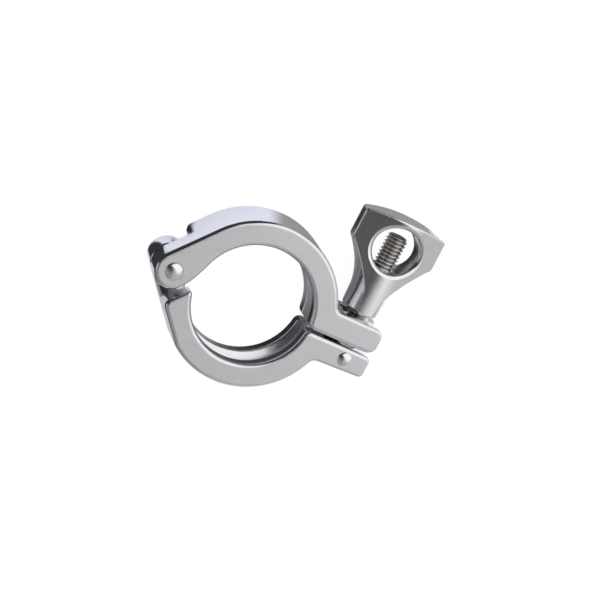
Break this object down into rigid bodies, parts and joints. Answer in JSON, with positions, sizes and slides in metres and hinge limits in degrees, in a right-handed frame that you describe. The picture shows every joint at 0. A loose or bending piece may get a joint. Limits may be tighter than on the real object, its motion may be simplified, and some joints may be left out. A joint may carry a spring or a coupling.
{
  "type": "sanitary hinged clamp",
  "caption": "Hinged ring clamp with V-grooved jaws that closes on tube ferrules by a swing bolt and a windowed wing nut.",
  "frame": {"origin": "on the ring's axis, halfway across its width, with the jaws closed", "axes": "+Z along the ring's axis, out of the face with the domed rivets; +X from the hinge to the bolt lugs along the parting plane; +Y to the side of the wing nut"},
  "size_m": [0.095, 0.0807, 0.0219],
  "materials": {
    "jaws": "satin cast stainless with a polished outer rim and groove",
    "pins": "polished stainless rivets",
    "bolt": "bright rolled thread",
    "nut": "tumbled satin cast stainless"
  },
  "bodies": {
    "lower": {"lower_jaw": "jaws", "hinge_pin": "pins", "bolt_pin": "pins"},
    "upper": {"upper_jaw": "jaws"},
    "bolt": {"swing_bolt": "bolt"},
    "nut": {"wing_nut": "nut"}
  },
  "joints": [
    {"name": "jaw_hinge", "type": "hinge", "parent": "lower", "child": "upper", "pos_m": [-0.03145, 0, 0], "axis": [0, 0, 1], "range_deg": [0, 18]},
    {"name": "bolt_swing", "type": "hinge", "parent": "lower", "child": "bolt", "pos_m": [0.0399, -0.0047, 0], "axis": [0, 0, -1], "range_deg": [0, 170]},
    {"name": "nut_travel", "type": "slide", "parent": "bolt", "child": "nut", "axis": [0, 1, 0], "range_m": [0, 0.0262]}
  ],
  "couplings": [
    {"joint": "nut_travel", "follows": "jaw_hinge", "m_per_rad": 0.083}
  ]
}
